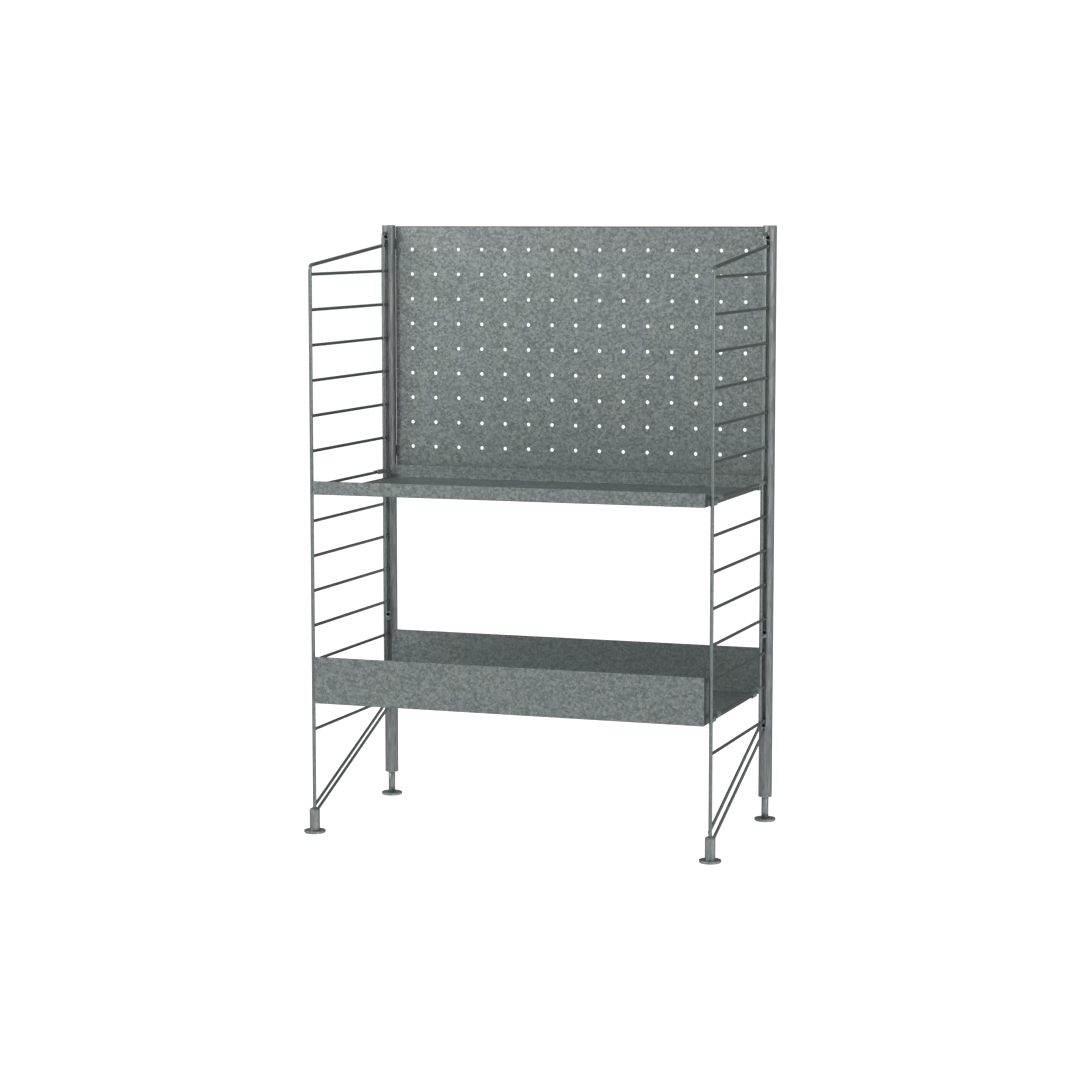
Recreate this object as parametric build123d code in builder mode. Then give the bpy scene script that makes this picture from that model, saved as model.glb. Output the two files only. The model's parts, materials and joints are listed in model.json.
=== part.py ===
"""Free-standing outdoor shelf in galvanised steel.

Two wire ladders stand on screw feet in front of two slotted tube posts, with a pegboard
between the posts. A shallow shelf tray and a deep planter tray hang by hooks on the rungs.

Frame: millimetres, +X to the right, +Y to the back, +Z up. The origin is on the floor,
in the middle of the footprint.
"""

import os

from build123d import *

# ---- Driving dimensions -------------------------------------------------------------
BAY_X = 398.9            # centre line of a ladder and its post, from the middle
FRONT_Y = -198.5         # axis of the front uprights and front feet
POST_Y = 198.5           # axis of the rear posts and rear feet
REAR_WIRE_Y = 161.0      # axis of the rear wire of a ladder
HEIGHT = 1173.6          # top of the post caps
SHEET = 1.5              # thickness of the trays and the pegboard

# Rungs
RUNG_R = 3.0
RUNG_PITCH = 67.56
RUNG_TOP_Z = 1081.4
RUNG_COUNT = 14
RUNG_END_Y = 189.0       # the rungs end inside the slot of the post
SHELF_RUNG = 6           # counted from the top rung, which is 0
PLANTER_RUNG = 12

# Wires
UPRIGHT_R = 3.5
UPRIGHT_FOOT_Z = 30.0
UPRIGHT_BEND_Z = 1098.4
TOP_WIRE_END_Z = 1135.0
WIRE_BEND_R = 9.0
REAR_WIRE_R = 3.0
REAR_WIRE_INSET = 2.0    # the rear wire stands this far inside the ladder's plane
BRACE_OUTSET = 1.6       # the lower brace stands this far outside the ladder's plane
BRACE_SLOPE = 0.392
UPPER_BRACE_MID_Z = 134.0
LOWER_BRACE_MID_Z = 113.1

# Posts
POST_R = 13.45
POST_WALL = 2.0
POST_FOOT_Z = 50.3
SLOT_WIDTH = 7.2
SLOT_LOW_Z = 186.0
SLOT_HIGH_Z = 1155.0
CAP_FLANGE = 2.0
CAP_PLUG = 12.0
CAP_ROUND = 1.0
PLUG_GAP = 0.05
INSERT_FLANGE = 2.0
INSERT_TOP_Z = 84.0
INSERT_ROUND = 1.2

# Fixing of a ladder to its post: top, middle and bottom
LUG_HEIGHTS = (1150.0, 378.6, 193.5)
LUG_RISES = (7.5, -7.5, -8.7)   # from the screw to the wire that the lug is welded to
LUG_WIDTH = 9.0
LUG_THICK = 2.0
LUG_BACK_Y = 185.0
SCREW_R = 2.0
SCREW_HEAD_R = 3.6
SCREW_HEAD = 2.2
SCREW_HEAD_ROUND = 1.4
SCREW_END_Y = 197.0
SOCKET_WIDTH = 2.5
SOCKET_DEPTH = 1.3
NUT_SIZE = (13.0, 4.0, 12.0)
NUT_FRONT_Y = 189.2

# Feet
PAD_R = 21.0
PAD_THICK = 5.5
PAD_CHAMFER = 1.6
PAD_ROUND = 0.8
PAD_BORE_DEPTH = 4.0
JOINT_GAP = 0.3          # between pieces of different bodies that meet face to face
RUN_GAP = 0.05           # radial running fit
FRONT_SCREW_R = 4.0
FRONT_SCREW_TOP_Z = 26.0
SCREW_TIP_CHAMFER = 0.8
SLEEVE_R = 10.0
SLEEVE_TOP_Z = 47.0
SLEEVE_CHAMFER = 1.5
SLEEVE_BORE_TOP_Z = 27.0
REAR_SCREW_R = 5.0
REAR_SCREW_TOP_Z = 78.0
STEM_R = 7.0
STEM_TOP_Z = 48.0

# Pegboard
BOARD_HALF = 386.0
BOARD_FRONT_Y = 203.35
BOARD_LOW_Z = 682.6
BOARD_HIGH_Z = 1171.4
BOARD_DEPTH = 8.65
BOARD_LIP = 18.0
BOARD_BEND_R = 4.0       # outer radius of the folds along the top and the bottom
PEG_HOLE_R = 3.65
PEG_MID_Z = 924.8
PEG_PITCH = 50.0
PEG_COLUMNS = 15
PEG_ROWS = 9
PLATE_SIZE = (36.0, 1.5, 22.0)
PLATE_CORNER_R = 3.0
PLATE_X = 388.0
PLATE_HEIGHTS = (1135.0, 715.0)
PLATE_SCREW_XS = (376.5, 398.9)
PLATE_SCREW_R = 2.0
PLATE_SCREW_HEAD_R = 4.0
PLATE_SCREW_HEAD = 2.2
PLATE_SCREW_ROUND = 1.0
PLATE_SCREW_END_Y = 206.0

# Trays
TRAY_HALF = 390.0
TRAY_FRONT_Y = -216.65
TRAY_BACK_Y = 181.35
TRAY_BEND_R = 2.5
SHELF_LOW_Z = 662.0
SHELF_WALL = 26.0
PLANTER_LOW_Z = 257.3
PLANTER_WALL = 91.2
RETURN_DEPTH = 42.0
RETURN_FALL = 8.0        # the upper edge of a return slopes down by this to its free end
RETURN_CORNER_R = 1.4
RETURN_END_R = 6.0       # upper corner of a return, at its free end

# Hooks of the trays: each has a strap up from the floor of its tray and a saddle on the rung,
# with the front and rear edge of the one and of the other given along y
HOOK_THICK = 1.5
HOOK_GAP = 0.3
HOOK_ROOT = 26.0
HOOK_X = 393.5           # outer face of the straps, which pass inside the rear wire
HOOK_DROP = 3.0          # outer edge of a saddle, below the rung's axis
HOOK_LIP = 3.5           # inner edge of a saddle that stands in front of its strap
HOOK_BENDS = (2.5, 3.2, 3.2)
FRONT_HOOK = ((-167.0, -143.0), (-167.0, -143.0))
PLANTER_REAR_HOOK = ((126.0, 150.0), (126.0, 150.0))
SHELF_REAR_HOOK = ((160.0, 177.0), (119.0, 156.0))

PASS = 1.0               # how far a cut runs past the wall that it goes through
SIDES = (("left", -1), ("right", 1))


def save(piece, name):
    """Label a finished piece and write its STEP file."""
    piece.part.label = name
    export_step(piece.part, f"parts/{name}.step")


def rung_z(number):
    """Height of a rung's axis; the top rung is number 0."""
    return RUNG_TOP_Z - number * RUNG_PITCH


def level(x, y, z):
    """Horizontal plane, facing up."""
    return Plane((x, y, z))


def facing_front(x, y, z):
    """Upright plane facing the front, with its own y axis up."""
    return Plane((x, y, z), x_dir=(1, 0, 0), z_dir=(0, -1, 0))


def bend_rod(points, radius, mode=Mode.ADD):
    """Add or remove a round rod along straight runs joined by tangent bends."""
    with BuildLine() as route:
        FilletPolyline(*points, radius=WIRE_BEND_R)
    with BuildSketch(Plane(route.line @ 0, z_dir=route.line % 0)) as section:
        Circle(radius)
    sweep(section.sketch, path=route.line, mode=mode)


def cut_box(xs, ys, zs):
    """Remove a box, given by its two ends along each axis."""
    sizes = [abs(high - low) for low, high in (xs, ys, zs)]
    with Locations(tuple((low + high) / 2 for low, high in (xs, ys, zs))):
        Box(*sizes, mode=Mode.SUBTRACT)


def cut_rod(x, y, low_z, high_z, radius):
    """Remove an upright round rod from the part that is being built."""
    with BuildSketch(level(x, y, low_z)) as section:
        Circle(radius)
    extrude(section.sketch, amount=high_z - low_z, mode=Mode.SUBTRACT)


# ---- Ladders ------------------------------------------------------------------------
def make_front_wire(side, sign):
    """Front upright, bent over at the top and rising back to the post."""
    x = sign * BAY_X
    points = [
        (x, FRONT_Y, UPRIGHT_FOOT_Z),
        (x, FRONT_Y, UPRIGHT_BEND_Z),
        (x, RUNG_END_Y, TOP_WIRE_END_Z),
    ]
    with BuildPart() as wire:
        bend_rod(points, UPRIGHT_R)
        cut_rod(sign * (BAY_X - REAR_WIRE_INSET), REAR_WIRE_Y, RUNG_TOP_Z, HEIGHT, REAR_WIRE_R)
    save(wire, f"{side}_front_wire")


def rear_wire_route(sign):
    """Corners of the rear wire: top lug, down behind, then forward as the upper brace."""
    x = sign * (BAY_X - REAR_WIRE_INSET)
    top_z = LUG_HEIGHTS[0] + LUG_RISES[0]
    return [
        (x, LUG_BACK_Y - LUG_THICK, top_z),
        (x, REAR_WIRE_Y, top_z),
        (x, REAR_WIRE_Y, UPPER_BRACE_MID_Z + BRACE_SLOPE * REAR_WIRE_Y),
        (x, FRONT_Y, UPPER_BRACE_MID_Z + BRACE_SLOPE * FRONT_Y),
    ]


def make_rear_wire(side, sign):
    """Rear wire, coped to the upright at its foot."""
    x = sign * (BAY_X - REAR_WIRE_INSET)
    with BuildPart() as wire:
        bend_rod(rear_wire_route(sign), REAR_WIRE_R)
        cut_rod(sign * BAY_X, FRONT_Y, 0, RUNG_TOP_Z, UPRIGHT_R)
        cut_box((x - 2 * UPRIGHT_R, x + 2 * UPRIGHT_R), (FRONT_Y - 2 * UPRIGHT_R, FRONT_Y), (0, HEIGHT))
    save(wire, f"{side}_rear_wire")


def make_brace_wire(side, sign):
    """Lower brace, parallel to the upper one, from the bottom lug to the foot sleeve."""
    x = sign * (BAY_X + BRACE_OUTSET)
    lug_front = LUG_BACK_Y - LUG_THICK
    start = Vector(x, FRONT_Y, LOWER_BRACE_MID_Z + BRACE_SLOPE * FRONT_Y)
    end = Vector(x, POST_Y, LOWER_BRACE_MID_Z + BRACE_SLOPE * POST_Y)
    with BuildPart() as brace:
        with BuildSketch(Plane(start, z_dir=end - start)):
            Circle(REAR_WIRE_R)
        extrude(amount=(end - start).length)
        split(bisect_by=Plane((x, lug_front, 0), z_dir=(0, 1, 0)), keep=Keep.BOTTOM)
        cut_rod(sign * BAY_X, FRONT_Y, 0, RUNG_TOP_Z, SLEEVE_R)
    save(brace, f"{side}_brace_wire")


def make_rungs(side, sign):
    """Straight rungs, coped to the upright and notched round the rear wire."""
    with BuildPart() as rungs:
        for number in range(RUNG_COUNT):
            with BuildSketch(facing_front(sign * BAY_X, FRONT_Y, rung_z(number))):
                Circle(RUNG_R)
            extrude(amount=FRONT_Y - RUNG_END_Y)
        cut_rod(sign * BAY_X, FRONT_Y, 0, HEIGHT, UPRIGHT_R)
        bend_rod(rear_wire_route(sign), REAR_WIRE_R, mode=Mode.SUBTRACT)
    save(rungs, f"{side}_rungs")


def make_sleeve(side, sign):
    """Foot sleeve: the upright enters it from above and the foot screw from below."""
    x = sign * BAY_X
    low = PAD_THICK + JOINT_GAP
    with BuildPart() as sleeve:
        with BuildSketch(level(x, FRONT_Y, low)):
            Circle(SLEEVE_R)
        extrude(amount=SLEEVE_TOP_Z - low)
        chamfer(sleeve.edges().sort_by(Axis.Z)[-1], length=SLEEVE_CHAMFER)
        cut_rod(x, FRONT_Y, UPRIGHT_FOOT_Z, SLEEVE_TOP_Z, UPRIGHT_R)
        cut_rod(x, FRONT_Y, low, SLEEVE_BORE_TOP_Z, FRONT_SCREW_R + RUN_GAP)
    save(sleeve, f"{side}_foot_sleeve")


# ---- Fixing of a ladder to its post -------------------------------------------------
def make_lugs(side, sign):
    """Flat lugs against the post; the middle one has its own stub from the rear wire."""
    with BuildPart() as lugs:
        for height, rise in zip(LUG_HEIGHTS, LUG_RISES):
            with BuildSketch(facing_front(sign * BAY_X, LUG_BACK_Y, height + rise / 2)):
                SlotCenterToCenter(abs(rise), LUG_WIDTH, rotation=90)
                with Locations((0, -rise / 2)):
                    Circle(SCREW_R + RUN_GAP, mode=Mode.SUBTRACT)
            extrude(amount=LUG_THICK)
        wire_x = sign * (BAY_X - REAR_WIRE_INSET)
        with BuildSketch(facing_front(wire_x, LUG_BACK_Y - LUG_THICK, LUG_HEIGHTS[1] + LUG_RISES[1])):
            Circle(REAR_WIRE_R)
        extrude(amount=LUG_BACK_Y - LUG_THICK - REAR_WIRE_Y)
        cut_rod(wire_x, REAR_WIRE_Y, 0, HEIGHT / 2, REAR_WIRE_R)
    save(lugs, f"{side}_ladder_lugs")


def make_ladder_screws(side, sign):
    """Button-head socket screws through the lugs and the slot of the post."""
    head_y = LUG_BACK_Y - LUG_THICK
    with BuildPart() as screws:
        for height in LUG_HEIGHTS:
            seat = facing_front(sign * BAY_X, head_y, height)
            with BuildSketch(seat):
                Circle(SCREW_HEAD_R)
            extrude(amount=SCREW_HEAD)
        fillet(screws.edges().group_by(Axis.Y)[0], radius=SCREW_HEAD_ROUND)
        for height in LUG_HEIGHTS:
            seat = facing_front(sign * BAY_X, head_y, height)
            with BuildSketch(seat.offset(SCREW_HEAD)):
                RegularPolygon(SOCKET_WIDTH / 2, 6, major_radius=False)
            extrude(amount=-SOCKET_DEPTH, mode=Mode.SUBTRACT)
            with BuildSketch(seat):
                Circle(SCREW_R)
            extrude(amount=head_y - SCREW_END_Y)
    save(screws, f"{side}_ladder_screws")


def make_slot_nuts(side, sign):
    """Square nuts behind the slot, inside the post."""
    width, depth, height = NUT_SIZE
    with BuildPart() as nuts:
        for screw_z in LUG_HEIGHTS:
            with BuildSketch(facing_front(sign * BAY_X, NUT_FRONT_Y, screw_z)):
                Rectangle(width, height)
                Circle(SCREW_R + RUN_GAP, mode=Mode.SUBTRACT)
            extrude(amount=-depth)
    save(nuts, f"{side}_slot_nuts")


# ---- Posts --------------------------------------------------------------------------
def make_post(side, sign):
    """Round tube with a long slot in its front wall and screw holes in its back wall."""
    x = sign * BAY_X
    with BuildPart() as post:
        with BuildSketch(level(x, POST_Y, POST_FOOT_Z)):
            Circle(POST_R)
            Circle(POST_R - POST_WALL, mode=Mode.SUBTRACT)
        extrude(amount=HEIGHT - CAP_FLANGE - POST_FOOT_Z)
        with BuildSketch(facing_front(x, POST_Y, (SLOT_HIGH_Z + SLOT_LOW_Z) / 2)):
            SlotOverall(SLOT_HIGH_Z - SLOT_LOW_Z, SLOT_WIDTH, rotation=90)
        extrude(amount=POST_R + PASS, mode=Mode.SUBTRACT)
        for z in PLATE_HEIGHTS:
            with BuildSketch(facing_front(x, POST_Y, z)):
                Circle(PLATE_SCREW_R)
            extrude(amount=-POST_R - PASS, mode=Mode.SUBTRACT)
    save(post, f"{side}_post")


def make_post_cap(side, sign):
    """End cap with a plug inside the tube."""
    flange = level(sign * BAY_X, POST_Y, HEIGHT - CAP_FLANGE)
    with BuildPart() as cap:
        with BuildSketch(flange):
            Circle(POST_R)
        extrude(amount=CAP_FLANGE)
        fillet(cap.edges().sort_by(Axis.Z)[-1], radius=CAP_ROUND)
        with BuildSketch(flange):
            Circle(POST_R - POST_WALL - PLUG_GAP)
        extrude(amount=-CAP_PLUG)
    save(cap, f"{side}_post_cap")


def make_post_insert(side, sign):
    """Threaded insert in the foot of the post, for the levelling screw."""
    x = sign * BAY_X
    low = POST_FOOT_Z - INSERT_FLANGE
    with BuildPart() as insert:
        with BuildSketch(level(x, POST_Y, low)):
            Circle(POST_R)
        extrude(amount=INSERT_FLANGE)
        fillet(insert.edges().sort_by(Axis.Z)[0], radius=INSERT_ROUND)
        with BuildSketch(level(x, POST_Y, POST_FOOT_Z)):
            Circle(POST_R - POST_WALL - PLUG_GAP)
        extrude(amount=INSERT_TOP_Z - POST_FOOT_Z)
        cut_rod(x, POST_Y, low, INSERT_TOP_Z, REAR_SCREW_R + RUN_GAP)
    save(insert, f"{side}_post_insert")


# ---- Levelling feet -----------------------------------------------------------------
def make_pad(name, x, y, screw_r):
    """Round foot pad with a blind bore for the rivet end of its screw."""
    with BuildPart() as pad:
        with BuildSketch(level(x, y, 0)):
            Circle(PAD_R)
        extrude(amount=PAD_THICK)
        chamfer(pad.edges().sort_by(Axis.Z)[0], length=PAD_CHAMFER)
        fillet(pad.edges().sort_by(Axis.Z)[-1], radius=PAD_ROUND)
        cut_rod(x, y, PAD_THICK - PAD_BORE_DEPTH, PAD_THICK, screw_r + RUN_GAP)
    save(pad, name)


def make_foot_screw(name, x, y, radius, top_z, stem_r, stem_top_z):
    """Foot screw from its pad upwards, thicker along its stem."""
    low = PAD_THICK - PAD_BORE_DEPTH + RUN_GAP
    stem_low = PAD_THICK + JOINT_GAP
    with BuildPart() as screw:
        with BuildSketch(level(x, y, low)):
            Circle(radius)
        extrude(amount=top_z - low)
        chamfer(screw.edges().sort_by(Axis.Z)[-1], length=SCREW_TIP_CHAMFER)
        if stem_r > radius:
            with BuildSketch(level(x, y, stem_low)):
                Circle(stem_r)
            extrude(amount=stem_top_z - stem_low)
    save(screw, name)


def make_feet(side, sign):
    """The front and the rear foot of one side."""
    x = sign * BAY_X
    make_pad(f"{side}_front_pad", x, FRONT_Y, FRONT_SCREW_R)
    make_pad(f"{side}_rear_pad", x, POST_Y, REAR_SCREW_R)
    make_foot_screw(
        f"{side}_front_foot_screw", x, FRONT_Y, FRONT_SCREW_R, FRONT_SCREW_TOP_Z, FRONT_SCREW_R, 0
    )
    make_foot_screw(
        f"{side}_rear_foot_screw", x, POST_Y, REAR_SCREW_R, REAR_SCREW_TOP_Z, STEM_R, STEM_TOP_Z
    )


# ---- Pegboard -----------------------------------------------------------------------
def make_pegboard():
    """Perforated sheet with its edges folded back, and a lip down each side."""
    width = 2 * BOARD_HALF
    height = BOARD_HIGH_Z - BOARD_LOW_Z
    mid_z = (BOARD_HIGH_Z + BOARD_LOW_Z) / 2
    face = facing_front(0, BOARD_FRONT_Y, mid_z)
    with BuildPart() as board:
        with BuildSketch(face):
            Rectangle(width, height)
        extrude(amount=-BOARD_DEPTH)
        front_edges = board.edges().group_by(Axis.Y)[0]
        fillet(front_edges.filter_by(Axis.X), radius=BOARD_BEND_R)
        offset(amount=-SHEET, openings=board.faces().sort_by(Axis.Y)[-1])
        with BuildSketch(face.offset(-BOARD_DEPTH)):
            Rectangle(width - SHEET, height - SHEET)
            Rectangle(width - 2 * BOARD_LIP, height, mode=Mode.SUBTRACT)
            with Locations(*plate_screw_spots()):
                Circle(PLATE_SCREW_R, mode=Mode.SUBTRACT)
        extrude(amount=SHEET)
        with BuildSketch(face):
            with Locations((0, PEG_MID_Z - mid_z)):
                with GridLocations(PEG_PITCH, PEG_PITCH, PEG_COLUMNS, PEG_ROWS):
                    Circle(PEG_HOLE_R)
        extrude(amount=-2 * SHEET, mode=Mode.SUBTRACT)
    save(board, "pegboard")


def plate_screw_spots():
    """Screw holes in the pegboard's lips, from the middle of the board."""
    mid_z = (BOARD_HIGH_Z + BOARD_LOW_Z) / 2
    x = PLATE_SCREW_XS[0]
    return [(sign * x, z - mid_z) for _, sign in SIDES for z in PLATE_HEIGHTS]


def make_board_plates():
    """Flat plates across the back, from the pegboard's lips to the posts."""
    width, thick, height = PLATE_SIZE
    with BuildPart() as plates:
        for _, sign in SIDES:
            for z in PLATE_HEIGHTS:
                with BuildSketch(facing_front(sign * PLATE_X, BOARD_FRONT_Y + BOARD_DEPTH, z)):
                    RectangleRounded(width, height, PLATE_CORNER_R)
                    with Locations(*((sign * (x - PLATE_X), 0) for x in PLATE_SCREW_XS)):
                        Circle(PLATE_SCREW_R, mode=Mode.SUBTRACT)
                extrude(amount=-thick)
    save(plates, "pegboard_plates")


def make_board_screws():
    """Pan-head screws in the joining plates, two in each."""
    seat_y = BOARD_FRONT_Y + BOARD_DEPTH + PLATE_SIZE[1]
    spots = [
        facing_front(sign * x, seat_y, z)
        for _, sign in SIDES
        for x in PLATE_SCREW_XS
        for z in PLATE_HEIGHTS
    ]
    with BuildPart() as screws:
        for seat in spots:
            with BuildSketch(seat):
                Circle(PLATE_SCREW_HEAD_R)
            extrude(amount=-PLATE_SCREW_HEAD)
        fillet(screws.edges().group_by(Axis.Y)[-1], radius=PLATE_SCREW_ROUND)
        for seat in spots:
            with BuildSketch(seat):
                Circle(PLATE_SCREW_R - RUN_GAP)
            extrude(amount=seat_y - PLATE_SCREW_END_Y)
    save(screws, "pegboard_screws")


# ---- Trays --------------------------------------------------------------------------
def make_tray(name, low_z, wall):
    """Folded tray, open at both ends, with the front wall returned round its corners."""
    corners = [
        (TRAY_FRONT_Y, low_z + wall),
        (TRAY_FRONT_Y, low_z),
        (TRAY_BACK_Y, low_z),
        (TRAY_BACK_Y, low_z + wall),
    ]
    with BuildPart() as tray:
        with BuildSketch(Plane.YZ.offset(-TRAY_HALF)):
            with BuildLine():
                FilletPolyline(*corners, radius=TRAY_BEND_R)
                offset(amount=SHEET, side=Side.LEFT)
            make_face()
        extrude(amount=2 * TRAY_HALF)
        for end in (-TRAY_HALF, TRAY_HALF - SHEET):
            with BuildSketch(Plane.YZ.offset(end)) as wing:
                with BuildLine():
                    Polyline(
                        (TRAY_FRONT_Y, low_z),
                        (TRAY_FRONT_Y + RETURN_DEPTH, low_z),
                        (TRAY_FRONT_Y + RETURN_DEPTH, low_z + wall - RETURN_FALL),
                        (TRAY_FRONT_Y, low_z + wall),
                        close=True,
                    )
                make_face()
                front_end = wing.vertices().group_by(Axis.X)[0]
                fillet(front_end.sort_by(Axis.Y)[0], radius=TRAY_BEND_R)
                free_end = wing.vertices().group_by(Axis.X)[-1]
                fillet(free_end.sort_by(Axis.Y)[-1], radius=RETURN_END_R)
            extrude(amount=SHEET)
        corner_edges = tray.edges().filter_by(Axis.Z).group_by(Axis.Y)[0]
        fillet(corner_edges, radius=RETURN_CORNER_R)
    save(tray, name)


def make_hooks(name, low_z, rung, rear_hook):
    """Four strip hooks under the floor of a tray, bent up and over a rung at each end."""
    root_x = TRAY_HALF - HOOK_ROOT
    root_z = low_z - HOOK_THICK
    top_z = rung_z(rung) + RUNG_R + HOOK_GAP
    outer_x = BAY_X + RUNG_R + HOOK_GAP
    corners = [
        (root_x, root_z),
        (HOOK_X, root_z),
        (HOOK_X, top_z),
        (outer_x, top_z),
        (outer_x, rung_z(rung) - HOOK_DROP),
    ]
    with BuildPart() as hooks:
        for _, sign in SIDES:
            for strap, saddle in (FRONT_HOOK, rear_hook):
                low_y, high_y = min(strap + saddle), max(strap + saddle)
                with BuildSketch(Plane((0, high_y, 0), x_dir=(sign, 0, 0), z_dir=(0, -sign, 0))):
                    with BuildLine():
                        FilletPolyline(*corners, radius=HOOK_BENDS)
                        offset(amount=HOOK_THICK, side=Side.LEFT)
                    make_face()
                extrude(amount=sign * (high_y - low_y))
                if strap != saddle:
                    lip = (root_z - PASS, rung_z(rung) - HOOK_LIP)
                    cut_box((sign * root_x, sign * (HOOK_X + PASS)), (low_y - PASS, strap[0]), lip)
                    full = (root_z - PASS, top_z + HOOK_THICK + PASS)
                    over_rung = (sign * HOOK_X, sign * (outer_x + HOOK_THICK + PASS))
                    cut_box(over_rung, (saddle[1], high_y + PASS), full)
    save(hooks, name)


# ---- The whole object ---------------------------------------------------------------
os.makedirs("parts", exist_ok=True)

for side_name, side_sign in SIDES:
    make_front_wire(side_name, side_sign)
    make_rear_wire(side_name, side_sign)
    make_brace_wire(side_name, side_sign)
    make_rungs(side_name, side_sign)
    make_sleeve(side_name, side_sign)
    make_lugs(side_name, side_sign)
    make_ladder_screws(side_name, side_sign)
    make_slot_nuts(side_name, side_sign)
    make_post(side_name, side_sign)
    make_post_cap(side_name, side_sign)
    make_post_insert(side_name, side_sign)
    make_feet(side_name, side_sign)

make_pegboard()
make_board_plates()
make_board_screws()
make_tray("shelf_tray", SHELF_LOW_Z, SHELF_WALL)
make_hooks("shelf_hooks", SHELF_LOW_Z, SHELF_RUNG, SHELF_REAR_HOOK)
make_tray("planter_tray", PLANTER_LOW_Z, PLANTER_WALL)
make_hooks("planter_hooks", PLANTER_LOW_Z, PLANTER_RUNG, PLANTER_REAR_HOOK)
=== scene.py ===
"""Looks of a free-standing outdoor shelf in galvanised steel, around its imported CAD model.

The CAD nodes keep their shapes and get zinc materials. Added here are the weld beads and the
threaded foot screws, then the floor, the light and the camera. Lengths are in metres, and
colours are linear.
"""

import json
import math
import random

import bmesh
import bpy
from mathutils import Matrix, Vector


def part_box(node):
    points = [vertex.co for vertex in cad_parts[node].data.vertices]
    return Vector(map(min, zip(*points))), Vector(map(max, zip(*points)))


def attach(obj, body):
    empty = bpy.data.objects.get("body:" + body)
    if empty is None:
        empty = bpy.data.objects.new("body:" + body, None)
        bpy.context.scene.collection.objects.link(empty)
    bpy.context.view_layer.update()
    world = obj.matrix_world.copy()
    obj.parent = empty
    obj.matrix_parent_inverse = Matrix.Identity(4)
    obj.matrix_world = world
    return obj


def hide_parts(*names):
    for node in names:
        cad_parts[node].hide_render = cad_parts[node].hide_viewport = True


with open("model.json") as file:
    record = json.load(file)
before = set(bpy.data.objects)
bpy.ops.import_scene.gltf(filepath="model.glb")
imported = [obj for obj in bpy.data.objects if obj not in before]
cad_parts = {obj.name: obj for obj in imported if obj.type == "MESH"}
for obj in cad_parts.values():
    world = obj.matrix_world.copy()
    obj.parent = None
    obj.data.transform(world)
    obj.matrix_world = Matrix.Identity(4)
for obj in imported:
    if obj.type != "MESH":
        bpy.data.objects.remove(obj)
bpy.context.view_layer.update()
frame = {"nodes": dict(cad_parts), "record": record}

MM = 0.001
SIDES = ("left", "right")

# ---- Places on the ladders, as in the CAD model ------------------------------------------
RUNG_COUNT = 14
REAR_WIRE_Y = 161.0 * MM
BRACE_SLOPE = 0.392      # rise of the braces towards the back
UPPER_BRACE_MID_Z = 134.0 * MM
LOWER_BRACE_MID_Z = 113.1 * MM
LUG_FRONT_Y = 183.0 * MM
TOP_LUG_WIRE_Z = 1157.5 * MM
STUB_Z = 371.1 * MM
STEM_TOP_Z = 48.0 * MM
FOOT_GAP = 0.3 * MM
POST_WALL = 2.0 * MM
THREADS = (("front", 4.0 * MM, 1.25 * MM), ("rear", 5.0 * MM, 1.5 * MM))     # radius and pitch

# ---- Weld beads and threads --------------------------------------------------------------
BEAD_SIZE = 1.1 * MM
BEAD_STEPS = 28
BEAD_LUMPS = 7
BEAD_LUMP_RANGE = (0.82, 1.12)
BEAD_REACH = 0.97        # how far to the side of its host a bead may go, in host radii
LUG_RADIUS = 1.0         # a lug is flat, so it is taken as a very large rod
# Outline of a bead, out from the rod and along it, in bead sizes; the last points are hidden
BEAD_PROFILE = (
    (1.00, -0.45),
    (0.96, 0.12),
    (0.66, 0.42),
    (0.30, 0.74),
    (0.02, 1.00),
    (-0.45, 0.9),
    (-0.45, -0.45),
)
# Outline of the bead on a sleeve: part of the way from upright to sleeve edge, and height
SLEEVE_PROFILE = (
    (-0.10, 3.4 * MM),
    (0.03, 3.3 * MM),
    (0.18, 2.3 * MM),
    (0.50, 1.2 * MM),
    (0.86, 0.2 * MM),
    (0.88, -0.4 * MM),
    (-0.10, -0.4 * MM),
)
SLEEVE_LUMP_RANGE = (0.85, 1.15)
SCREW_STEPS = 40
RINGS_PER_TURN = 8
SCREW_BEVEL = 0.4 * MM
SCREW_TIP = 0.9 * MM
THREAD_DEPTH = 0.54      # of the pitch

# ---- Colours and finishes ----------------------------------------------------------------
# Each zinc runs from its dark crystals through the middle ones to the light ones
ZINC_SHEET = ((0.153, 0.176, 0.180), (0.297, 0.328, 0.328), (0.513, 0.540, 0.526))
ZINC_WIRE = ((0.176, 0.205, 0.200), (0.292, 0.331, 0.320), (0.423, 0.461, 0.446))
ZINC_TUBE = ((0.205, 0.218, 0.221), (0.305, 0.321, 0.325), (0.430, 0.446, 0.450))
# Pale colour inside the posts' tubes: painted light, standing in for light that falls into their
# slots
PAINTED_LIGHT_INSIDE = (0.66, 0.69, 0.68)
# Fittings are painted paler than the sheet, as painted light that lifts the lugs out of the shade
# of the wires in front of them
FITTING_ZINC_PAINTED_LIGHT = ((0.260, 0.285, 0.285), (0.420, 0.450, 0.445), (0.600, 0.630, 0.620))
ZINC_FOOT = ((0.225, 0.248, 0.243), (0.360, 0.389, 0.380), (0.522, 0.551, 0.540))
BRIGHT_ZINC = ((0.30, 0.31, 0.31), (0.42, 0.43, 0.43), (0.55, 0.56, 0.56))
BLACK_ZINC = ((0.008, 0.009, 0.009), (0.014, 0.015, 0.015), (0.028, 0.029, 0.029))
GREEN_CAST = (0.985, 1.015, 0.975)
BLUE_CAST = (0.985, 1.00, 1.035)
DRAWN = (1.0, 1.0, 0.12)     # grain drawn out along Z
FASTENER_GRAIN = 900.0
ZINC_BUMP = 0.12 * MM
SATIN_BUMP = 0.06 * MM

# ---- Stage -------------------------------------------------------------------------------
FLOOR_Z = -15.5 * MM
FLOOR_RADIUS = 30.0
FLOOR_GREYS = ((0.79, 0.79, 0.79), (0.82, 0.82, 0.82))
FLOOR_GLOW = 0.85
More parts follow.
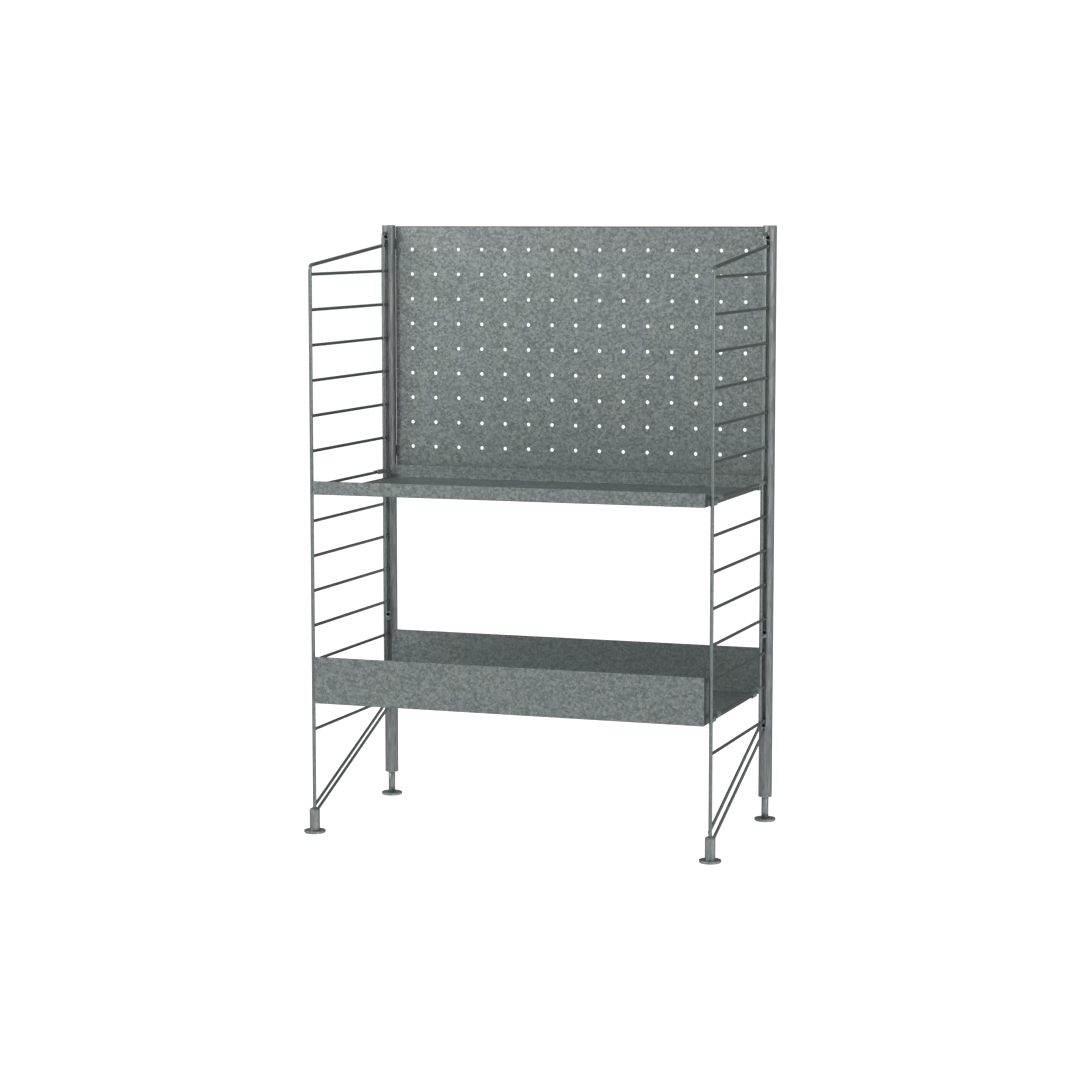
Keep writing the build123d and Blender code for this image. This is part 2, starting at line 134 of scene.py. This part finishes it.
# Strength of the surroundings: an axis, the stretch of it that counts, and strengths at its ends
WORLD_RAMPS = (
    ("Y", -1.0, 1.0, 0.58, 0.46),
    ("Z", -1.0, 1.0, 1.38, 0.58),
    ("Y", 0.70, 0.95, 1.0, 0.24),
    ("X", -1.0, 1.0, 0.84, 1.30),
)
BACKDROP = 1.05


# ---- Materials ---------------------------------------------------------------------------
class Shader:
    """A material's node tree, with one short call for each kind of node."""

    def __init__(self, name):
        self.material = bpy.data.materials.new(name)
        self.material.use_nodes = True
        self.tree = self.material.node_tree
        self.surface = self.tree.nodes["Principled BSDF"]
        self.coords = self.add("ShaderNodeTexCoord").outputs["Object"]

    def add(self, kind, **settings):
        node = self.tree.nodes.new(kind)
        for key, value in settings.items():
            setattr(node, key, value)
        return node

    def join(self, source, target):
        self.tree.links.new(source, target)

    def math(self, operation, first, second):
        node = self.add("ShaderNodeMath", operation=operation)
        for socket, value in zip(node.inputs, (first, second)):
            if isinstance(value, (int, float)):
                socket.default_value = value
            else:
                self.join(value, socket)
        return node.outputs[0]

    def stretch(self, vector, scale):
        node = self.add("ShaderNodeMapping")
        node.inputs["Scale"].default_value = scale
        self.join(vector, node.inputs["Vector"])
        return node.outputs[0]

    def noise(self, vector, scale, detail=3.0, roughness=0.55):
        node = self.add("ShaderNodeTexNoise")
        node.inputs["Scale"].default_value = scale
        node.inputs["Detail"].default_value = detail
        node.inputs["Roughness"].default_value = roughness
        self.join(vector, node.inputs["Vector"])
        return node.outputs["Fac"]

    def cells(self, vector, scale):
        node = self.add("ShaderNodeTexVoronoi", feature="F1")
        node.inputs["Scale"].default_value = scale
        self.join(vector, node.inputs["Vector"])
        return node.outputs

    def ramp(self, factor, colours, low=0.0, high=1.0):
        node = self.add("ShaderNodeValToRGB")
        stops = node.color_ramp.elements
        while len(stops) < len(colours):
            stops.new(0.5)
        for index, colour in enumerate(colours):
            stops[index].position = low + (high - low) * index / (len(colours) - 1)
            stops[index].color = (*colour, 1.0)
        self.join(factor, node.inputs["Fac"])
        return node.outputs["Color"]

    def between(self, factor, low, high, from_low=0.0, from_high=1.0):
        node = self.add("ShaderNodeMapRange")
        limits = {"From Min": from_low, "From Max": from_high, "To Min": low, "To Max": high}
        for name, value in limits.items():
            node.inputs[name].default_value = value
        self.join(factor, node.inputs["Value"])
        return node.outputs["Result"]

    def tint(self, colour, cast):
        node = self.add("ShaderNodeMix", data_type="RGBA", blend_type="MULTIPLY")
        node.inputs["Factor"].default_value = 1.0
        self.join(colour, node.inputs["A"])
        self.join(cast, node.inputs["B"])
        return node.outputs["Result"]

    def bump(self, height, strength, distance):
        node = self.add("ShaderNodeBump")
        node.inputs["Strength"].default_value = strength
        node.inputs["Distance"].default_value = distance
        self.join(height, node.inputs["Height"])
        self.join(node.outputs["Normal"], self.surface.inputs["Normal"])


def paint_light_inside_posts(shader, colour):
    """Leaves the colour outside the posts' tubes and paints it pale inside them, as painted light
    standing in for light that falls into the tubes through their slots.
    """
    low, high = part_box("right_post")
    middle = (low + high) / 2
    bore = (high.x - low.x) / 2 - POST_WALL / 2
    apart = shader.add("ShaderNodeSeparateXYZ")
    shader.join(shader.coords, apart.inputs[0])
    across = shader.math("SUBTRACT", shader.math("ABSOLUTE", apart.outputs["X"], 0.0), middle.x)
    along = shader.math("SUBTRACT", apart.outputs["Y"], middle.y)
    squares = (shader.math("MULTIPLY", across, across), shader.math("MULTIPLY", along, along))
    reach = shader.math("SQRT", shader.math("ADD", *squares), 0.0)
    node = shader.add("ShaderNodeMix", data_type="RGBA")
    shader.join(shader.math("LESS_THAN", reach, bore), node.inputs["Factor"])
    shader.join(colour, node.inputs["A"])
    node.inputs["B"].default_value = (*PAINTED_LIGHT_INSIDE, 1.0)
    return node.outputs["Result"]


def zinc(name, colours, cell, rough, stretch=(1.0, 1.0, 1.0), relief=0.35, place=None):
    """Zinc coat: crystals with streaks in their own directions, in large cool and green patches.

    cell is the size of a crystal, rough the lowest and highest roughness, stretch draws the
    grain out along an axis where it is below 1, and place changes the colour by position.
    """
    shader = Shader(name)
    grain = shader.stretch(shader.coords, stretch)
    wander = shader.add("ShaderNodeTexNoise")
    wander.inputs["Scale"].default_value = 0.8 / cell
    shader.join(grain, wander.inputs["Vector"])
    bent = shader.add("ShaderNodeVectorMath", operation="MULTIPLY_ADD")
    bent.inputs[1].default_value = (0.9 * cell, 0.9 * cell, 0.9 * cell)
    shader.join(wander.outputs["Color"], bent.inputs[0])
    shader.join(grain, bent.inputs[2])

    crystals = shader.cells(bent.outputs[0], 1.0 / cell)
    seeds = shader.cells(bent.outputs[0], 2.6 / cell)
    apart = shader.add("ShaderNodeSeparateColor")
    shader.join(crystals["Color"], apart.inputs[0])
    apart_seeds = shader.add("ShaderNodeSeparateColor")
    shader.join(seeds["Color"], apart_seeds.inputs[0])

    turned = shader.add("ShaderNodeVectorRotate", rotation_type="AXIS_ANGLE")
    turned.inputs["Axis"].default_value = (0.36, 0.48, 0.80)
    shader.join(shader.math("MULTIPLY", apart.outputs[1], 2.0 * math.pi), turned.inputs["Angle"])
    shader.join(grain, turned.inputs["Vector"])
    feathers = shader.noise(shader.stretch(turned.outputs[0], (1.0, 0.18, 1.0)), 4.5 / cell)
    clouds = shader.noise(shader.coords, 11.0, detail=4.0)
    soot = shader.noise(grain, 0.45 / cell, detail=5.0)

    tone = shader.math("MULTIPLY", apart.outputs[0], 0.34)
    tone = shader.math("ADD", tone, shader.math("MULTIPLY", apart_seeds.outputs[0], 0.20))
    tone = shader.math("ADD", tone, shader.math("MULTIPLY", feathers, 0.24))
    tone = shader.math("ADD", tone, shader.math("MULTIPLY", soot, 0.22))
    colour = shader.ramp(tone, colours, 0.18, 0.84)
    cast = shader.ramp(clouds, (BLUE_CAST, GREEN_CAST), 0.40, 0.62)
    colour = shader.tint(colour, cast)
    if place:
        colour = place(shader, colour)
    shader.join(colour, shader.surface.inputs["Base Color"])
    roughness = shader.between(tone, rough[1], rough[0], 0.25, 0.75)
    shader.join(roughness, shader.surface.inputs["Roughness"])
    height = shader.math("ADD", feathers, shader.math("MULTIPLY", apart.outputs[0], 0.5))
    shader.bump(height, relief, ZINC_BUMP)
    shader.surface.inputs["Metallic"].default_value = 1.0
    return shader.material


def satin(name, colours, scale, rough):
    """Plated or blackened fastener: fine grain and faint handling marks."""
    shader = Shader(name)
    grain = shader.noise(shader.coords, scale, detail=5.0)
    marks = shader.noise(shader.coords, scale / 9.0, detail=2.0)
    tone = shader.math("MULTIPLY", grain, 0.6)
    tone = shader.math("ADD", tone, shader.math("MULTIPLY", marks, 0.4))
    shader.join(shader.ramp(tone, colours, 0.30, 0.70), shader.surface.inputs["Base Color"])
    roughness = shader.between(tone, rough[0], rough[1], 0.3, 0.7)
    shader.join(roughness, shader.surface.inputs["Roughness"])
    shader.bump(grain, 0.25, SATIN_BUMP)
    shader.surface.inputs["Metallic"].default_value = 1.0
    return shader.material


MATERIALS = {
    "galvanised_sheet": zinc("galvanised_sheet", ZINC_SHEET, 4.2 * MM, (0.40, 0.58)),
    "galvanised_wire": zinc("galvanised_wire", ZINC_WIRE, 2.4 * MM, (0.26, 0.40)),
    # the inside of the tubes is painted pale, as painted light in the slots
    "galvanised_tube": zinc(
        "galvanised_tube", ZINC_TUBE, 3.0 * MM, (0.40, 0.52), DRAWN, relief=0.2, place=paint_light_inside_posts
    ),
    # paler fitting zinc: painted light on the lugs
    "galvanised_fitting": zinc("galvanised_fitting", FITTING_ZINC_PAINTED_LIGHT, 2.0 * MM, (0.50, 0.66)),
    "galvanised_foot": zinc(
        "galvanised_foot", ZINC_FOOT, 2.0 * MM, (0.38, 0.50), DRAWN, relief=0.2
    ),
    "zinc_fastener": satin("zinc_fastener", BRIGHT_ZINC, FASTENER_GRAIN, (0.25, 0.45)),
    "dark_fastener": satin("dark_fastener", BLACK_ZINC, FASTENER_GRAIN, (0.30, 0.50)),
}


def finish_nodes():
    """Each CAD node takes the material of its slot."""
    for part in frame["record"]["subparts"]:
        mesh = frame["nodes"][part["node"]].data
        mesh.materials.clear()
        mesh.materials.append(MATERIALS[part["material_slot"]])


# ---- Pieces ------------------------------------------------------------------------------
def add_piece(name, shape, body, slot):
    """A finished mesh in the row frame that rides on a body."""
    bmesh.ops.recalc_face_normals(shape, faces=shape.faces)
    mesh = bpy.data.meshes.new(name)
    shape.to_mesh(mesh)
    shape.free()
    for face in mesh.polygons:
        face.use_smooth = True
    mesh.materials.append(MATERIALS[slot])
    piece = bpy.data.objects.new(name, mesh)
    bpy.context.scene.collection.objects.link(piece)
    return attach(piece, body)


def skin(shape, rings):
    """Joins vertex rings of one length into a tube, each ring to the next."""
    for one, other in zip(rings, rings[1:]):
        for index in range(len(one)):
            after = (index + 1) % len(one)
            shape.faces.new((one[index], one[after], other[after], other[index]))


def weld_bead(shape, centre, along, radius, host_radius, draw, offset=0.0):
    """A bead round a rod where it meets an upright host rod, running out along the rod.

    centre is on the rod's axis beside the host's axis, offset is how far the two axes pass
    each other, and along points from the host down the rod.
    """
    along = Vector(along).normalized()
    forward = Vector((along.x, along.y, 0)).normalized()
    across = Vector((0, 0, 1)).cross(forward)
    turn = Vector((0, 0, 1)).rotation_difference(along).to_matrix()
    lumps = [draw.uniform(*BEAD_LUMP_RANGE) for _ in range(BEAD_LUMPS)]
    limit = BEAD_REACH * host_radius
    rings = []
    for out, run in BEAD_PROFILE:
        ring = []
        for step in range(BEAD_STEPS):
            angle = 2 * math.pi * step / BEAD_STEPS
            place = step / BEAD_STEPS * BEAD_LUMPS
            before = int(place)
            blend = place - before
            lump = lumps[before] * (1 - blend) + lumps[(before + 1) % BEAD_LUMPS] * blend
            reach = radius + BEAD_SIZE * out * (lump if out > 0 else 1)
            flat = turn @ Vector((reach * math.cos(angle), reach * math.sin(angle), 0))
            beside = flat.dot(across) - offset
            side = max(-limit, min(limit, beside))
            flat += (side - beside) * across
            start = (math.sqrt(host_radius**2 - side**2) - flat.dot(forward)) / along.dot(forward)
            down = along * (start + BEAD_SIZE * run * lump)
            ring.append(shape.verts.new(Vector(centre) + flat + down))
        rings.append(ring)
    skin(shape, rings + rings[:1])


def radius_of(node):
    low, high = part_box(node)
    return (high.x - low.x) / 2


def centre_of(node):
    low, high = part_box(node)
    return (low + high) / 2


def rung_heights(side):
    """Heights of the rungs' axes, from the top rung down."""
    low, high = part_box(f"{side}_rungs")
    radius = radius_of(f"{side}_rungs")
    step = (high.z - low.z - 2 * radius) / (RUNG_COUNT - 1)
    return [high.z - radius - number * step for number in range(RUNG_COUNT)]


def rung_welds(side):
    """Beads where each rung meets the upright and passes the rear wire."""
    rung_x = centre_of(f"{side}_rungs").x
    rear_x = centre_of(f"{side}_rear_wire").x
    front_y = centre_of(f"{side}_foot_sleeve").y
    radius, front_radius, rear_radius = (
        radius_of(f"{side}_{node}") for node in ("rungs", "front_wire", "rear_wire")
    )
    draw = random.Random(f"{side} rungs")
    shape = bmesh.new()
    for height in rung_heights(side):
        weld_bead(shape, (rung_x, front_y, height), (0, 1, 0), radius, front_radius, draw)
        for way in (-1, 1):
            offset = (rung_x - rear_x) * way
            place = (rung_x, REAR_WIRE_Y, height)
            weld_bead(shape, place, (0, way, 0), radius, rear_radius, draw, offset)
    add_piece(f"{side}_rung_welds", shape, "frame", "galvanised_wire")


def brace_welds(side):
    """Beads where the upper brace meets the upright and the lower one the foot sleeve."""
    front = centre_of(f"{side}_foot_sleeve")
    draw = random.Random(f"{side} braces")
    shape = bmesh.new()
    for wire, host, rise in (
        ("rear_wire", "front_wire", UPPER_BRACE_MID_Z),
        ("brace_wire", "foot_sleeve", LOWER_BRACE_MID_Z),
    ):
        x = centre_of(f"{side}_{wire}").x
        place = (x, front.y, rise + BRACE_SLOPE * front.y)
        radii = (radius_of(f"{side}_{wire}"), radius_of(f"{side}_{host}"))
        weld_bead(shape, place, (0, 1, BRACE_SLOPE), *radii, draw, x - front.x)
    add_piece(f"{side}_brace_welds", shape, "frame", "galvanised_wire")


def sleeve_weld(side):
    """A sloping bead that closes the top of the foot sleeve round the upright."""
    centre = centre_of(f"{side}_foot_sleeve")
    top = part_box(f"{side}_foot_sleeve")[1].z
    inner = radius_of(f"{side}_front_wire")
    outer = radius_of(f"{side}_foot_sleeve")
    draw = random.Random(f"{side} sleeve")
    lumps = [draw.uniform(*SLEEVE_LUMP_RANGE) for _ in range(BEAD_STEPS)]
    shape = bmesh.new()
    rings = []
    for reach, rise in SLEEVE_PROFILE:
        ring = []
        for step, lump in enumerate(lumps):
            angle = 2 * math.pi * step / BEAD_STEPS
            radius = inner + (outer - inner) * reach
            spot = (
                centre.x + radius * math.cos(angle),
                centre.y + radius * math.sin(angle),
                top + rise * (lump if rise > 0 else 1),
            )
            ring.append(shape.verts.new(spot))
        rings.append(ring)
    skin(shape, rings + rings[:1])
    add_piece(f"{side}_sleeve_weld", shape, "frame", "galvanised_foot")


def lug_welds(side):
    """Beads where the wires meet the lugs, and where the middle stub leaves the rear wire."""
    rear_x = centre_of(f"{side}_rear_wire").x
    brace_x = centre_of(f"{side}_brace_wire").x
    radius = radius_of(f"{side}_rear_wire")
    draw = random.Random(f"{side} lugs")
    shape = bmesh.new()
    brace_z = LOWER_BRACE_MID_Z + BRACE_SLOPE * LUG_FRONT_Y
    for x, z, rise in (
        (rear_x, TOP_LUG_WIRE_Z, 0),
        (rear_x, STUB_Z, 0),
        (brace_x, brace_z, -BRACE_SLOPE),
    ):
        place = Vector((x, LUG_FRONT_Y, z)) - LUG_RADIUS * Vector((0, -1, rise))
        weld_bead(shape, place, (0, -1, rise), radius, LUG_RADIUS, draw)
    weld_bead(shape, (rear_x, REAR_WIRE_Y, STUB_Z), (0, 1, 0), radius, radius, draw)
    add_piece(f"{side}_lug_welds", shape, "frame", "galvanised_fitting")


def screw_shape(centre, stretches):
    """A screw in one skin from its stretches, each (low, high, radius, pitch); pitch 0 is plain."""
    shape = bmesh.new()
    rings = []
    for low, high, radius, pitch in stretches:
        count = int((high - low) / pitch * RINGS_PER_TURN) if pitch else 1
        levels = [low + (high - low) * level / count for level in range(count + 1)]
        if not pitch:
            levels = [low, low + SCREW_BEVEL, high - SCREW_BEVEL, high]
        for z in levels:
            ring = []
            for step in range(SCREW_STEPS):
                turn = step / SCREW_STEPS
                reach = radius
                if pitch:
                    groove = 1 - abs(2 * (((z - low) / pitch - turn) % 1.0) - 1)
                    run_out = min(1.0, (z - low) / pitch, (high - z) / pitch)
                    reach -= THREAD_DEPTH * pitch * groove * run_out
                elif z in (low, high):
                    reach -= SCREW_BEVEL
                angle = 2 * math.pi * turn
                spot = (centre.x + reach * math.cos(angle), centre.y + reach * math.sin(angle), z)
                ring.append(shape.verts.new(spot))
            rings.append(ring)
    skin(shape, rings)
    shape.faces.new(rings[0])
    shape.faces.new(rings[-1])
    return shape


def foot_screws(side):
    """Levelling screws with their threads, in place of the plain ones."""
    for end, thread_radius, pitch in THREADS:
        node = f"{side}_{end}_foot_screw"
        low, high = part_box(node)
        pad_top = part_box(f"{side}_{end}_pad")[1].z
        thread_low = pad_top + FOOT_GAP
        stretches = [(low.z, thread_low, thread_radius, 0)]
        if radius_of(node) > 1.01 * thread_radius:
            stretches.append((thread_low, STEM_TOP_Z, radius_of(node), 0))
            thread_low = STEM_TOP_Z
        tip = high.z - SCREW_TIP
        stretches.append((thread_low, tip, thread_radius, pitch))
        stretches.append((tip, high.z, thread_radius - SCREW_BEVEL, 0))
        shape = screw_shape((low + high) / 2, stretches)
        piece = add_piece(f"{side}_{end}_threaded_foot", shape, node, "galvanised_foot")
        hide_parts(node)


# ---- Floor, light and camera -------------------------------------------------------------
def make_floor():
    """A pale floor, low enough for the feet to be wound right out above it."""
    bpy.ops.mesh.primitive_circle_add(
        vertices=96, radius=FLOOR_RADIUS, fill_type="NGON", location=(0, 0, FLOOR_Z)
    )
    floor = bpy.context.object
    floor.name = "floor"
    shader = Shader("pale_floor")
    grain = shader.ramp(shader.noise(shader.coords, 40.0), FLOOR_GREYS, 0.3, 0.7)
    shader.join(grain, shader.surface.inputs["Base Color"])
    shader.surface.inputs["Roughness"].default_value = 0.9
    shader.surface.inputs["Emission Color"].default_value = (1.0, 1.0, 1.0, 1.0)
    shader.surface.inputs["Emission Strength"].default_value = FLOOR_GLOW
    floor.data.materials.append(shader.material)
    floor.visible_glossy = False


def make_world():
    """Soft surroundings with a plain white backdrop.

    They are brightest in front, below and to the right, with a darker patch right behind.
    """
    world = bpy.data.worlds.new("studio")
    world.use_nodes = True
    bpy.context.scene.world = world
    tree = world.node_tree
    background = tree.nodes["Background"]
    background.inputs["Color"].default_value = (1.0, 1.0, 1.0, 1.0)
    way = tree.nodes.new("ShaderNodeTexCoord")
    apart = tree.nodes.new("ShaderNodeSeparateXYZ")
    tree.links.new(way.outputs["Generated"], apart.inputs[0])
    strength = None
    for axis, start, end, low, high in WORLD_RAMPS:
        ramp = tree.nodes.new("ShaderNodeMapRange")
        limits = {"From Min": start, "From Max": end, "To Min": low, "To Max": high}
        for name, value in limits.items():
            ramp.inputs[name].default_value = value
        tree.links.new(apart.outputs[axis], ramp.inputs["Value"])
        if strength is None:
            strength = ramp.outputs["Result"]
        else:
            product = tree.nodes.new("ShaderNodeMath")
            product.operation = "MULTIPLY"
            tree.links.new(strength, product.inputs[0])
            tree.links.new(ramp.outputs["Result"], product.inputs[1])
            strength = product.outputs[0]
    seen = tree.nodes.new("ShaderNodeLightPath")
    mix = tree.nodes.new("ShaderNodeMix")
    tree.links.new(seen.outputs["Is Camera Ray"], mix.inputs["Factor"])
    tree.links.new(strength, mix.inputs["A"])
    mix.inputs["B"].default_value = BACKDROP
    tree.links.new(mix.outputs["Result"], background.inputs["Strength"])


def add_light(name, place, target, size, power):
    lamp = bpy.data.lights.new(name, "AREA")
    lamp.shape = "RECTANGLE"
    lamp.size, lamp.size_y = size
    lamp.energy = power
    light = bpy.data.objects.new(name, lamp)
    light.location = place
    light.rotation_euler = (Vector(target) - Vector(place)).to_track_quat("-Z", "Y").to_euler()
    bpy.context.scene.collection.objects.link(light)


def make_camera():
    """In front and to the right, a little above the top, looking slightly down."""
    data = bpy.data.cameras.new("camera")
    data.lens = 95.54
    data.sensor_width = 36.0
    camera = bpy.data.objects.new("camera", data)
    camera.location = (1.8200, -5.2270, 1.1882)
    camera.rotation_euler = (math.radians(83.587), 0.0, math.radians(19.240))
    bpy.context.scene.collection.objects.link(camera)
    bpy.context.scene.camera = camera


# ---- The scene ---------------------------------------------------------------------------
bpy.context.scene.view_settings.view_transform = "Standard"
make_camera()
make_world()
make_floor()
add_light("key", (-3.3, -2.7, 2.5), (0.0, 0.0, 0.5), (1.8, 1.8), 80.0)
add_light("side", (3.4, -1.6, 1.8), (0.0, 0.0, 0.6), (0.8, 2.4), 16.0)

finish_nodes()
for side in SIDES:
    rung_welds(side)
    brace_welds(side)
    lug_welds(side)
    sleeve_weld(side)
    foot_screws(side)
